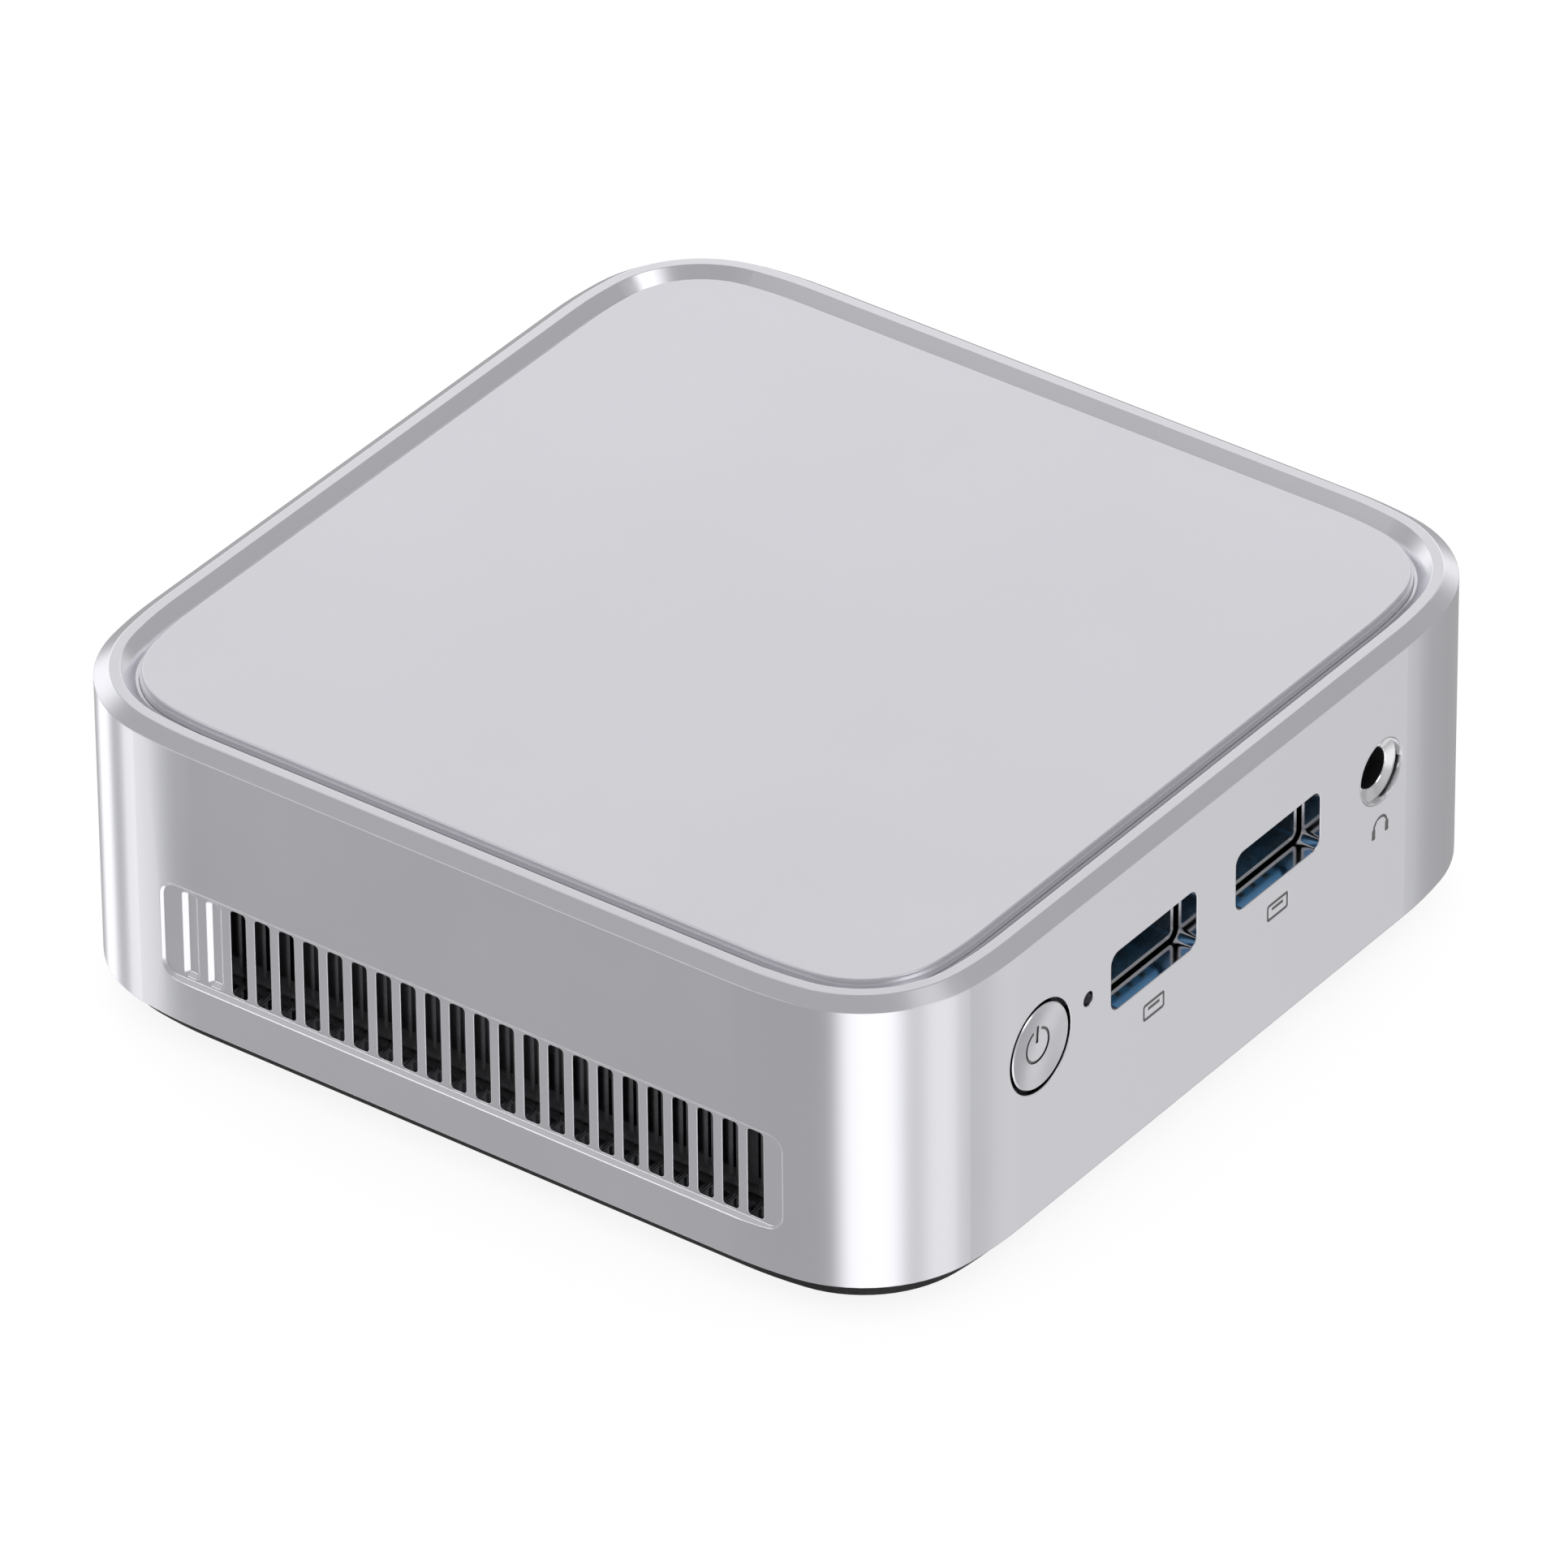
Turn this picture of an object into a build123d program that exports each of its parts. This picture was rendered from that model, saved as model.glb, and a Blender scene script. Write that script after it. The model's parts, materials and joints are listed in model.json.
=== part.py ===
from build123d import *
import math
import os

# Mini PC: an aluminium shell, open below, closed by a black plastic cover on four rubber feet.
# Millimetres. +Z is up, the front face (power button, two USB sockets, audio socket) looks
# along -Y, and the origin is on the table plane under the middle of the case.

# ---- case ----
width = 102.0
corner_radius = 14.1
easing_radius = 45.0
easing_angle = 9.0
wall = 2.2
total_height = 36.0
cover_bottom = 1.5
shell_bottom = 3.8
rim_chamfer_inset = 1.48
rim_chamfer_drop = 1.02
rim_inner_inset = 2.56
groove_inset = 4.0
groove_drop = 1.5
plate_pocket_inset = 4.33
plate_pocket_drop = 1.9
plate_flange_inset = 4.36
plate_flange_drop = 0.85
plate_inset = 4.6
plate_drop = 0.4
deck_thickness = 1.8
rim_fillet = 0.12
edge_break = 0.05
half = width / 2
inner = half - wall
deck_underside = total_height - plate_pocket_drop - deck_thickness

# ---- side vents ----
vent_front_y = -37.85
vent_rear_y = 36.03
vent_bottom = 8.38
vent_top = 19.59
vent_depth = 0.47
vent_lip_depth = 0.05
vent_lip_width = 0.07
vent_corner = 2.0
slot_count = 24
blind_slots = 2
slot_pitch = 2.9
slot_width = 1.84
slot_margin = 0.22
slot_corner = 0.45
slot_edge_break = 0.04
first_slot_y = 32.44
blind_depth = 0.44
blind_corner = 0.5
liner_shift = 0.5
ledge_top = 9.1
sill_top = 7.9

# ---- front face ----
front_port_z = 23.2
front_usb_x = {"left": -10.04, "right": 10.29}
usb_cutout = (13.95, 6.52)
usb_cutout_corner = 1.2
audio_x = 27.47
audio_z = 22.9
audio_hole_radius = 3.5
audio_bore_radius = 1.8
audio_funnel_depth = 1.05
audio_throat_radius = 2.15
audio_nose_y = -49.8
audio_nose_radius = 2.65
audio_rim_radius = 3.4
audio_rim_depth = 0.65
button_x = -28.36
button_z = 22.69
button_hole_radius = 4.88
button_radius = 4.45
button_cap_thickness = 1.6
button_stem_y = -46.2
light_x = -20.68
light_z = 23.73
light_hole_radius = 0.775
engraving_depth = 0.06
mark_drop = 6.3

# ---- rear face ----
dc_x = 31.6
video_x = 18.1
lan_x = 1.1
rear_usb_x = {"inner": -14.95, "outer": -29.55}
rear_slot_count = 21

# ---- inner stack, bottom to top ----
cover_thickness = 2.4
cover_top = cover_bottom + cover_thickness
cover_edge_inset = 2.0
cover_inset = 2.3
cover_lip_inset = 3.85
cover_lip_top = 5.2
fan_bottom = 4.9
fan_height = 7.0
fan_top = fan_bottom + fan_height
fan_centre = (0.0, 15.0)
fan_size = 60.0
fan_bore_radius = 27.6
fan_hole_offset = 25.0
base_bottom = 15.0
base_top = 17.2
board_bottom = 18.6
board_thickness = 1.6
board_top = board_bottom + board_thickness
board_half_x = 44.2
board_half_y = 46.2

# ---- memory, drive, radio, clock cell, leads ----
memory_z = 14.6
memory_rear_y = -18.0
latch_x = 35.0
latch_pivot_y = -21.9
latch_top = memory_z + 2.1
latch_pin_radius = 0.6
card_z = board_top + 2.6
ssd_y = 9.0
wifi_y = -14.6
wifi_plug_x = 12.5
wifi_plug_offset = 8.0
wifi_plug_z = card_z + 2.2
cell_place = (-27.0, -19.0)
lead_diameter = 1.1
antenna_x = 44.9
antenna_z = 13.0
antenna_pad_y = -12.0
antenna_lead_y = {"left": -20.0, "right": -26.8}
fan_lead_end = (-39.8, 12.0, 16.2)

# ---- fixings ----
post_offset = 40.5
post_radius = 3.2
screw_radius = 1.15
foot_offset = 33.0
foot_radius = 6.0
standoff_x = 40.5
standoff_y = 31.0
bracket_half_spacing = 34.5
thread_radius = 1.25


# ---------- helpers ----------
def outline(inset):
    """The case's plan outline, moved in by inset: each corner eases in and out on a wide arc."""
    reach = half - inset
    tight, wide = corner_radius - inset, easing_radius - inset
    turn = math.radians(easing_angle)
    centre = half - easing_radius + (easing_radius - corner_radius) * math.cos(turn)
    straight = centre - (easing_radius - corner_radius) * math.sin(turn)
    quarter = [
        CenterArc((half - easing_radius, straight), wide, 0, easing_angle),
        CenterArc((centre, centre), tight, easing_angle, 90 - 2 * easing_angle),
        CenterArc((straight, half - easing_radius), wide, 90 - easing_angle, easing_angle),
        Line((straight, reach), (-straight, reach)),
    ]
    edges = []
    for step in range(4):
        edges += [Rot(0, 0, 90 * step) * edge for edge in quarter]
    return make_face(Curve() + edges)


def slab(inset, bottom, top):
    return extrude(Pos(0, 0, bottom) * outline(inset), amount=top - bottom)


def block(x, y, z):
    """A box from three (low, high) pairs."""
    sizes = [high - low for low, high in (x, y, z)]
    centre = [(low + high) / 2 for low, high in (x, y, z)]
    return Pos(*centre) * Box(*sizes)


def upright(x, y, bottom, top, radius):
    return Pos(x, y, (bottom + top) / 2) * Cylinder(radius, top - bottom)


def along_y(x, z, front, back, radius):
    """A cylinder along Y, from front to back."""
    middle = (front + back) / 2
    return Pos(x, middle, z) * Rot(90, 0, 0) * Cylinder(radius, back - front)


def hex_post(x, y, bottom, top, across):
    shape = Pos(x, y, bottom) * RegularPolygon(across / 2, 6, major_radius=False)
    return extrude(shape, amount=top - bottom)


def face_plane(side, across, z, offset=0.0):
    """A plane on an outer side, looking out of it, moved in by offset; across is x or y."""
    reach = half - offset
    planes = {
        "front": ((across, -reach, z), (1, 0, 0), (0, -1, 0)),
        "rear": ((across, reach, z), (-1, 0, 0), (0, 1, 0)),
        "left": ((-reach, across, z), (0, -1, 0), (-1, 0, 0)),
    }
    origin, x_dir, z_dir = planes[side]
    return Plane(origin=origin, x_dir=x_dir, z_dir=z_dir)


def rounded_face(plane, size, corner, grow, depth):
    """A rounded rectangle, grown by an even margin, depth below plane."""
    across, up = size
    shape = RectangleRounded(across + 2 * grow, up + 2 * grow, corner + grow)
    return (plane.offset(-depth) * shape).face()


def rounded_cutter(plane, size, corner, depth, break_size=edge_break):
    """Cuts a rounded opening from plane inwards, with a fine break round its outer edge."""
    hole = extrude(rounded_face(plane, size, corner, 0.0, 0.0), amount=-depth)
    wide = rounded_face(plane, size, corner, break_size, 0.0)
    narrow = rounded_face(plane, size, corner, 0.0, break_size)
    return [hole, loft([wide, narrow], ruled=True)]


def sloped_cutter(plane, size, corner, top, floor):
    """Cuts between two depths below plane, with walls sloping inwards at 45 degrees."""
    sections = [rounded_face(plane, size, corner, -depth, depth) for depth in (top, floor)]
    return loft(sections, ruled=True)


def pocket_cutter(plane, size, corner):
    """Cuts the vent's shallow pocket: sloping walls under a softened lip."""
    lip = rounded_face(plane, size, corner, vent_lip_width, 0.0)
    slope_top = rounded_face(plane, size, corner, -vent_lip_depth, vent_lip_depth)
    slope = sloped_cutter(plane, size, corner, vent_lip_depth, vent_depth)
    return [loft([lip, slope_top], ruled=True), slope]


def round_cutter(side, x, z, radius, depth):
    """Cuts a round opening, with the same fine break."""
    plane = face_plane(side, x, z)
    hole = extrude(plane * Circle(radius), amount=-depth)
    rim_profile = [(plane * Circle(radius + edge_break)).face()]
    rim_profile.append((plane.offset(-edge_break) * Circle(radius)).face())
    return [hole, loft(rim_profile, ruled=True)]


def group(solids):
    return Compound(children=list(solids))


def corners(offset_x, offset_y):
    return [(sx * offset_x, sy * offset_y) for sx in (-1, 1) for sy in (-1, 1)]


# ---------- case ----------
def vent_cutters():
    """The left vent: a shallow pocket, slots through its floor, and two blind dents behind them."""
    middle_y = (vent_front_y + vent_rear_y) / 2
    middle_z = (vent_bottom + vent_top) / 2
    length = vent_rear_y - vent_front_y
    pocket_plane = face_plane("left", middle_y, middle_z)
    size = (length, vent_top - vent_bottom)
    cutters = pocket_cutter(pocket_plane, size, vent_corner)
    slot_size = (slot_width, vent_top - vent_bottom - 2 * (vent_depth + slot_margin))
    for index in range(slot_count):
        y = first_slot_y - index * slot_pitch
        plane = face_plane("left", y, middle_z, vent_depth)
        if index < blind_slots:
            cutters.append(sloped_cutter(plane, slot_size, blind_corner, 0.0, blind_depth))
        else:
            cutters += rounded_cutter(plane, slot_size, slot_corner, 2 * wall, slot_edge_break)
    return cutters


def rear_cutters():
    """Port openings in the rear wall, and the row of outlet slots under them."""
    cutters = round_cutter("rear", dc_x, board_top + 5.6, 3.9, 2 * wall)
    sizes = [(video_x, board_top + 3.1, 15.6, 6.4, 1.2), (lan_x, board_top + 5.9, 16.6, 12.2, 0.6)]
    sizes += [(x, board_top + 3.0, *usb_cutout, usb_cutout_corner) for x in rear_usb_x.values()]
    for x, z, across, up, corner in sizes:
        cutters += rounded_cutter(face_plane("rear", x, z), (across, up), corner, 2 * wall)
    middle_z = (vent_bottom + vent_top) / 2 - 1.5
    for index in range(rear_slot_count):
        x = (index - (rear_slot_count - 1) / 2) * slot_pitch
        plane = face_plane("rear", x, middle_z)
        cutters += rounded_cutter(plane, (slot_width, 7.6), slot_corner, 2 * wall, slot_edge_break)
    return cutters


def plug_mark(x, z):
    """A small plain outline of a flat connector, engraved under a socket."""
    plane = face_plane("front", x, z)
    outer = RectangleRounded(3.5, 1.9, 0.35) - RectangleRounded(2.9, 1.3, 0.12)
    mark = outer + Pos(0, 0.2) * Rectangle(1.9, 0.32)
    return extrude(plane * mark, amount=-engraving_depth)


def headphone_mark(x, z):
    """A small headphone outline, engraved under the audio socket."""
    plane = face_plane("front", x, z)
    band = Circle(1.25) - Circle(0.97) - Pos(0, -1.5) * Rectangle(5, 3)
    cups = [Pos(side * 1.1, -0.4) * RectangleRounded(0.6, 1.2, 0.2) for side in (-1, 1)]
    return extrude(plane * (band + cups[0] + cups[1]), amount=-engraving_depth)


def front_cutters():
    cutters = []
    for x in front_usb_x.values():
        cutters += rounded_cutter(
            face_plane("front", x, front_port_z), usb_cutout, usb_cutout_corner, 2 * wall
        )
    cutters += round_cutter("front", audio_x, audio_z, audio_hole_radius, 2 * wall)
    cutters += round_cutter("front", button_x, button_z, button_hole_radius, 2 * wall)
    cutters += round_cutter("front", light_x, light_z, light_hole_radius, 2 * wall)
    cutters += [plug_mark(x, front_port_z - mark_drop) for x in front_usb_x.values()]
    cutters.append(headphone_mark(audio_x, audio_z - mark_drop))
    return cutters


def housing():
    shell = slab(0, shell_bottom, total_height)
    top_edges = shell.faces().sort_by(Axis.Z)[-1].edges()
    top_face = shell.faces().sort_by(Axis.Z)[-1]
    shell = chamfer(top_edges, rim_chamfer_inset, rim_chamfer_drop, reference=top_face)
    levels = shell.edges().group_by(Axis.Z)
    shell = fillet(levels[-1] + levels[-2], rim_fillet)
    shell -= slab(wall, shell_bottom - 1, deck_underside)
    slope = (groove_inset - rim_inner_inset) / groove_drop
    over = 0.5
    sections = [
        (Pos(0, 0, total_height - groove_drop) * outline(groove_inset)).face(),
        (Pos(0, 0, total_height + over) * outline(rim_inner_inset - slope * over)).face(),
    ]
    shell -= loft(sections, ruled=True)
    shell -= slab(plate_pocket_inset, total_height - plate_pocket_drop, total_height)
    for x, y in corners(post_offset, post_offset):
        post = upright(x, y, cover_top + 0.05, deck_underside + 0.1, post_radius)
        shell += post
    for x, y in corners(post_offset, post_offset):
        shell -= upright(x, y, cover_top, cover_top + 9, screw_radius + 0.02)
    vents = vent_cutters()
    cutters = vents + [mirror(piece, about=Plane.YZ) for piece in vents]
    cutters += rear_cutters() + front_cutters()
    return shell - cutters


def top_plate():
    bottom = total_height - plate_pocket_drop
    flange_top = total_height - plate_flange_drop
    flange = slab(plate_flange_inset, bottom, flange_top)
    flange = fillet(flange.faces().sort_by(Axis.Z)[-1].edges(), 0.05)
    plate = slab(plate_inset, bottom + 0.5, total_height - plate_drop)
    return flange + fillet(plate.faces().sort_by(Axis.Z)[-1].edges(), 0.14)


def bottom_cover():
    """A tray: a flange under the shell's edge, and a floor with a lip inside the shell."""
    cover = slab(cover_edge_inset, cover_bottom, shell_bottom - 0.05)
    cover = fillet(cover.faces().sort_by(Axis.Z)[0].edges(), 0.1)
    cover += slab(cover_inset, cover_bottom + 1, cover_lip_top)
    cover -= slab(cover_lip_inset, cover_top, cover_lip_top)
    for x, y in corners(post_offset, post_offset):
        cover -= upright(x, y, cover_top, cover_lip_top + 1, post_radius + 0.3)
        cover -= upright(x, y, cover_bottom - 1, cover_top + 1, screw_radius + 0.15)
        cover -= upright(x, y, cover_bottom - 1, cover_bottom + 1.3, 2.6)
    for x, y in corners(foot_offset, foot_offset):
        cover -= upright(x, y, cover_bottom - 1, cover_bottom + 0.6, foot_radius + 0.05)
    for side in (-1, 1):
        x = side * bracket_half_spacing
        cover += upright(x, 0, cover_top, cover_top + 3, 3.2)
        cover -= upright(x, 0, cover_bottom - 1, cover_top + 4, 2.0)
    return cover - intake_slots()


def intake_slots():
    """Parallel slots under the fan, cut to a round field, with a solid disc under the hub."""
    slots = []
    field_radius = 25.5
    hub_radius = 6.0
    for index in range(-7, 8):
        offset = index * 3.4
        reach = math.sqrt(field_radius**2 - offset**2)
        gap = math.sqrt(hub_radius**2 - offset**2) if abs(offset) < hub_radius else 0.8
        for side in (-1, 1):
            length = reach - gap
            centre_x = fan_centre[0] + side * (gap + length / 2)
            slot = Pos(centre_x, fan_centre[1] + offset, cover_bottom - 1)
            slots.append(extrude(slot * SlotOverall(length, 1.8), amount=cover_thickness + 2))
    return slots


def foot(x, y):
    pad = upright(x, y, 0, cover_bottom + 0.6, foot_radius)
    return fillet(pad.faces().sort_by(Axis.Z)[0].edges(), 0.4)


def cover_screws():
    screws = []
    for x, y in corners(post_offset, post_offset):
        screw = upright(x, y, cover_bottom + 0.1, cover_bottom + 1.3, 2.3)
        screw += upright(x, y, cover_bottom + 1.3, cover_top + 6.5, screw_radius)
        recess = Pos(x, y, cover_bottom) * RegularPolygon(0.9, 6)
        screws.append(screw - extrude(recess, amount=0.8))
    return group(screws)


def bracket_inserts():
    inserts = []
    for side in (-1, 1):
        x = side * bracket_half_spacing
        insert = upright(x, 0, cover_bottom + 0.2, cover_top + 3, 2.0)
        inserts.append(insert - upright(x, 0, 0, cover_top + 4, thread_radius))
    return group(inserts)


def left_vent_liner():
    """A plastic grille behind the left slots, with a ledge and a low sill with short ribs."""
    front_x, back_x = -half + 4.7, -half + 5.8
    y_range = (first_slot_y - (slot_count - 0.2) * slot_pitch, first_slot_y + 1.6)
    liner = block((front_x, back_x), y_range, (5.4, 20.4))
    gaps = []
    for index in range(slot_count):
        y = first_slot_y - index * slot_pitch
        gap = (y + liner_shift - slot_width / 2, y + liner_shift + slot_width / 2)
        gaps.append(block((front_x - 1, back_x + 1), gap, (ledge_top - 0.1, 19.2)))
    liner -= gaps
    liner += block((front_x - 0.8, front_x), y_range, (ledge_top - 0.5, ledge_top))
    liner += block((front_x - 1.9, front_x), y_range, (sill_top - 0.7, sill_top))
    ribs = []
    for index in range(slot_count):
        y = first_slot_y - index * slot_pitch
        for shift in (-0.3, 0.3):
            rib_place = Pos(front_x - 0.95, y + shift, sill_top + 0.15)
            ribs.append(rib_place * Rot(0, 0, 10) * Box(1.7, 0.22, 0.4))
    return liner + ribs


# ---------- power button and light ----------
def power_symbol(plane):
    """The plain on/off symbol: a broken ring and a bar."""
    ring = Circle(1.91) - Circle(1.61) - Pos(0, 1.6) * Rectangle(1.2, 1.6)
    bar = Pos(0, 1.2) * RectangleRounded(0.4, 2.0, 0.15)
    return extrude(plane * (ring + bar), amount=-1.0)


def power_button_cap():
    """An aluminium disc with a broken edge, a shallow dish and the engraved symbol."""
    cap = along_y(button_x, button_z, -half, -half + button_cap_thickness, button_radius)
    cap = chamfer(cap.edges().group_by(Axis.Y)[0], 0.1)
    dish_rim, dish_depth = 4.3, 0.42
    dish_radius = (dish_rim**2 + dish_depth**2) / (2 * dish_depth)
    dish_centre_y = -half - dish_radius + dish_depth
    cap -= Pos(button_x, dish_centre_y, button_z) * Sphere(dish_radius)
    mark = power_symbol(face_plane("front", button_x, button_z))
    keep = Pos(button_x, dish_centre_y + 2 * engraving_depth, button_z) * Sphere(dish_radius)
    return cap - (mark & keep)


def power_button_carrier():
    """The plastic carrier behind the cap: a flange that stops on the wall, and a stem."""
    flange_front = -inner + 0.05
    carrier = along_y(
        button_x, button_z, -half + button_cap_thickness, flange_front, button_radius - 0.1
    )
    carrier += along_y(
        button_x, button_z, flange_front, flange_front + 0.8, button_hole_radius + 0.7
    )
    return carrier + along_y(button_x, button_z, flange_front + 0.8, button_stem_y, 1.6)


def power_switch():
    body = block((button_x - 3.1, button_x + 3.1), (-44.6, -41.0), (board_top, board_top + 5.0))
    return body - along_y(button_x, button_z, -45, -42.9, 1.05)


def switch_plunger():
    return along_y(button_x, button_z, button_stem_y + 0.05, -43.35, 0.95)


def status_light_pipe():
    tip = along_y(light_x, light_z, -half + 1.5, -inner, light_hole_radius - 0.03)
    bar = along_y(light_x, light_z, -inner, -45.0, 0.7)
    block_down = block((light_x - 0.7, light_x + 0.7), (-46.3, -45.0), (board_top + 1.0, light_z))
    return tip + bar + block_down


# ---------- sockets ----------
def sleeve_y(x, z, size, corner, thickness, front, back, end_wall):
    """A rounded sheet-metal sleeve along Y, open at front and closed by end_wall at back."""
    across, up = size
    plane = Plane(origin=(x, front, z), x_dir=(1, 0, 0), z_dir=(0, -1, 0))
    depth = back - front
    outer = extrude(plane * RectangleRounded(across, up, corner), amount=-depth)
    hole_size = (across - 2 * thickness, up - 2 * thickness)
    hole_shape = RectangleRounded(*hole_size, corner - thickness)
    return outer - extrude(plane * hole_shape, amount=-(depth - end_wall))


def facing(shape, rear):
    """Turns a front-facing shape about Z for the rear wall."""
    return Rot(0, 0, 180) * shape if rear else shape


def usb_shell(x, z, rear=False):
    x = -x if rear else x
    shell = sleeve_y(x, z, (13.1, 5.72), 0.85, 0.45, -inner + 0.25, -34.6, 0.35)
    return facing(shell, rear)


def usb_tongue(x, z, rear=False):
    """The insulator: a back block and the tongue that carries the contacts."""
    x = -x if rear else x
    block_back = block((x - 5.9, x + 5.9), (-38.6, -34.95), (z - 2.3, z + 2.3))
    tongue = block((x - 5.6, x + 5.6), (-47.6, -38.6), (z + 0.2, z + 2.1))
    tip = tongue.edges().filter_by(Axis.X).group_by(Axis.Y)[0]
    return facing(block_back + chamfer(tip, 0.3), rear)


def usb_contacts():
    """Four long contact strips under each tongue and five short ones at its tip."""
    strips = []
    ports = [(x, front_port_z, False) for x in front_usb_x.values()]
    ports += [(x, board_top + 3.0, True) for x in rear_usb_x.values()]
    for x, z, rear in ports:
        x = -x if rear else x
        for step in (-3.5, -1.0, 1.0, 3.5):
            strip = block((x + step - 0.5, x + step + 0.5), (-45.6, -38.7), (z + 0.08, z + 0.2))
            strips.append(facing(strip, rear))
        for step in (-4.0, -2.0, 0.0, 2.0, 4.0):
            strip = block((x + step - 0.3, x + step + 0.3), (-47.1, -46.0), (z + 0.1, z + 0.2))
            strips.append(facing(strip, rear))
    return group(strips)


def audio_collar():
    """A polished metal ring: a steep rim, a sloping lip, and a skirt round the socket's nose."""
    front, back = -half + 0.05, -inner + 0.4
    ring = along_y(audio_x, audio_z, front, back, audio_hole_radius - 0.04)
    levels = [
        (front + half, audio_rim_radius),
        (audio_rim_depth, audio_rim_radius - 0.1),
        (audio_funnel_depth, audio_throat_radius + 0.08),
        (audio_funnel_depth + 0.08, audio_throat_radius),
    ]
    sections = []
    for depth, radius in levels:
        plane = face_plane("front", audio_x, audio_z, depth)
        sections.append((plane * Circle(radius)).face())
    for outer, deeper in zip(sections, sections[1:]):
        ring -= loft([outer, deeper], ruled=True)
    ring -= along_y(audio_x, audio_z, audio_nose_y, back, audio_nose_radius + 0.03)
    return ring - along_y(audio_x, audio_z, -half, audio_nose_y, audio_throat_radius)


def audio_jack():
    """The socket's body, with a nose that leads the plug into the bore."""
    z = (board_top, board_top + 5.6)
    body_front = -48.35
    body = block((audio_x - 3.3, audio_x + 3.3), (body_front, -36.3), z)
    body += along_y(audio_x, audio_z, audio_nose_y + 0.03, body_front, audio_nose_radius)
    body -= along_y(audio_x, audio_z, -half, body_front, audio_throat_radius - 0.05)
    body -= along_y(audio_x, audio_z, body_front, -36.9, audio_bore_radius)
    for side in (-1, 1):
        x = audio_x + side * 2.05
        body -= block((x - 0.3, x + 0.3), (-47.2, -37.6), (audio_z - 0.6, audio_z + 0.6))
    return body


def audio_contacts():
    """Two spring leaves in the slots beside the bore."""
    leaves = []
    for side in (-1, 1):
        x = audio_x + side * 2.12
        leaves.append(block((x - 0.15, x + 0.15), (-47.0, -37.8), (audio_z - 0.45, audio_z + 0.45)))
    return group(leaves)


def video_outline(grow):
    """The socket's D shape, grown by an even margin."""
    half_top, half_low = 7.2 + grow, 5.2 + grow
    top, low = 2.6 + grow, -2.6 - grow
    points = [(-half_top, top), (half_top, top), (half_top, -0.6 - grow * 0.4)]
    points += [(half_low, low), (-half_low, low), (-half_top, -0.6 - grow * 0.4)]
    return make_face(Polyline(*points, close=True))


def video_shell():
    z = board_top + 3.1
    plane = Plane(origin=(-video_x, -inner + 0.2, z), x_dir=(1, 0, 0), z_dir=(0, -1, 0))
    outer = extrude(plane * video_outline(0.0), amount=-11.5)
    shell = outer - extrude(plane * video_outline(-0.35), amount=-11.1)
    return facing(shell, True)


def video_tongue():
    x, z = -video_x, board_top + 3.1
    back = block((x - 6.6, x + 6.6), (-40.2, -37.7), (z - 0.4, z + 2.1))
    tongue = block((x - 5.9, x + 5.9), (-47.6, -40.2), (z + 0.1, z + 1.1))
    return facing(back + tongue, True)


def lan_shell():
    x = -lan_x
    shell = sleeve_y(x, board_top + 5.85, (15.9, 11.6), 0.5, 0.3, -inner + 0.2, -28.0, 0.3)
    return facing(shell, True)


def lan_insert():
    """The plastic block inside, with the stepped cavity for the plug and its latch."""
    x, z = -lan_x, board_top + 5.85
    body = block((x - 7.5, x + 7.5), (-inner + 0.3, -28.4), (z - 5.3, z + 5.3))
    cavity = block((x - 5.9, x + 5.9), (-50, -35.0), (z - 2.6, z + 4.2))
    keyway = block((x - 3.1, x + 3.1), (-50, -37.0), (z - 4.4, z - 2.6))
    latch = block((x - 1.6, x + 1.6), (-50, -38.0), (z - 5.0, z - 4.4))
    return facing(body - cavity - keyway - latch, True)


def lan_contacts():
    """Eight spring wires across the top of the cavity."""
    x, z = -lan_x, board_top + 5.85
    wires = []
    for index in range(8):
        across = x + (index - 3.5) * 1.02
        wire = Pos(across, -40.0, z + 3.0) * Rot(-14, 0, 0) * Box(0.4, 8.0, 0.3)
        wires.append(facing(wire, True))
    return group(wires)


def dc_jack():
    x, z = -dc_x, board_top + 5.6
    body = block((x - 4.5, x + 4.5), (-48.5, -35.0), (board_top, board_top + 10.6))
    collar = along_y(x, z, -half + 0.4, -48.5, 3.8)
    return facing(body + collar - along_y(x, z, -52, -38.5, 2.95), True)


def dc_pin():
    x, z = -dc_x, board_top + 5.6
    pin = along_y(x, z, -47.55, -38.5, 1.25)
    return facing(fillet(pin.edges().group_by(Axis.Y)[0], 0.5), True)


# ---------- boards ----------
def mainboard():
    board = block(
        (-board_half_x, board_half_x), (-board_half_y, board_half_y), (board_bottom, board_top)
    )
    notch = 8.0
    for x, y in corners(post_offset + notch / 2, post_offset + notch / 2):
        board -= Pos(x, y, board_bottom) * Box(2 * notch, 2 * notch, 10)
    for x, y in corners(standoff_x, standoff_y):
        board -= upright(x, y, board_bottom - 1, board_top + 1, 1.4)
    for x, y in cooler_screw_places():
        board -= upright(x, y, board_bottom - 1, board_top + 1, 1.4)
    for x, y in ((-board_half_x, antenna_lead_y["left"]), (board_half_x, antenna_lead_y["right"])):
        board -= Pos(x, y, board_bottom) * Box(2.8, 3.0, 10)
    return board


def board_standoffs():
    posts = []
    for x, y in corners(standoff_x, standoff_y):
        post = hex_post(x, y, board_top, deck_underside, 5.0)
        posts.append(post - upright(x, y, board_top - 1, board_top + 7, 1.1))
    return group(posts)


def board_screws():
    screws = []
    for x, y in corners(standoff_x, standoff_y):
        screw = upright(x, y, board_bottom - 1.2, board_bottom, 2.2)
        screw += upright(x, y, board_bottom, board_top + 5.5, 1.05)
        recess = Pos(x, y, board_bottom - 1.2) * RegularPolygon(0.8, 6)
        screws.append(screw - extrude(recess, amount=0.7))
    return group(screws)


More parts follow.
